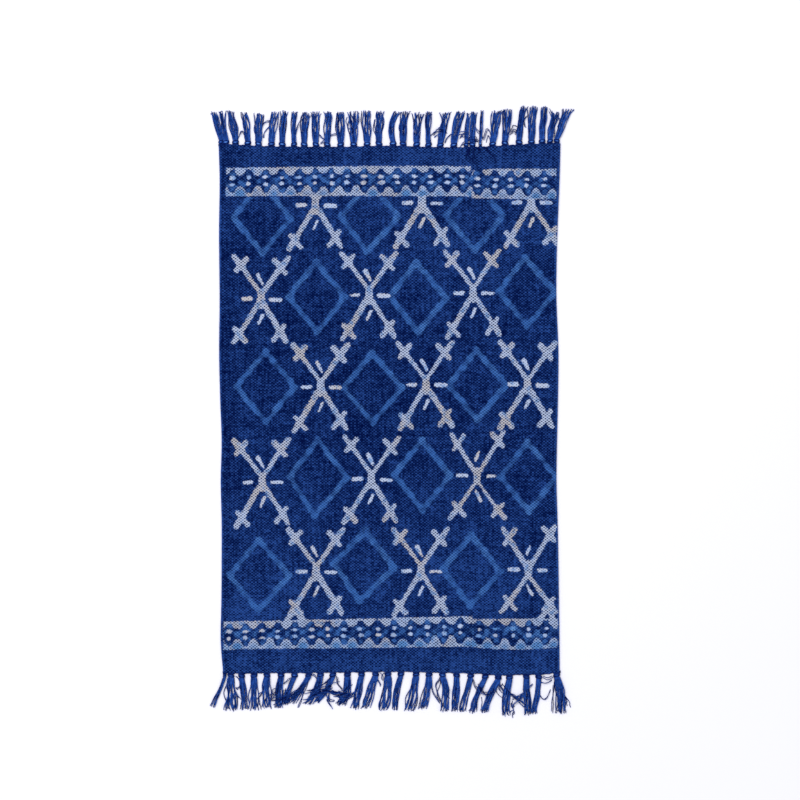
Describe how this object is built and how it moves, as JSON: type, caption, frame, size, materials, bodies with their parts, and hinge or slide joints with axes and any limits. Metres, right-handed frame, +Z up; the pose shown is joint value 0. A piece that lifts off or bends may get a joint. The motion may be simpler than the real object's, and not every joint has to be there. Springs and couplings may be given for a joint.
{
  "type": "flatweave rug",
  "caption": "Small flat-woven cotton rug with hand block-printed trellis, star and border print and knotted warp tassels along both short ends, lying flat",
  "frame": {"origin": "on the floor, under the middle of the outline that cloth and fringe make together", "axes": "+X across the rug to the right as seen from the foot end; +Y along its length from the foot fringe to the head fringe, which is up in the picture; +Z up out of the printed face"},
  "size_m": [0.6408, 1.0814, 0.0046],
  "materials": {
    "cloth": "matt plain-weave cotton dyed dark indigo, with a pale and mid-blue print on the face",
    "fringe_yarn": "matt loosely twisted cotton yarn dyed indigo"
  },
  "bodies": {
    "root": {"cloth": "cloth", "head_fringe": "fringe_yarn", "foot_fringe": "fringe_yarn"}
  },
  "joints": []
}
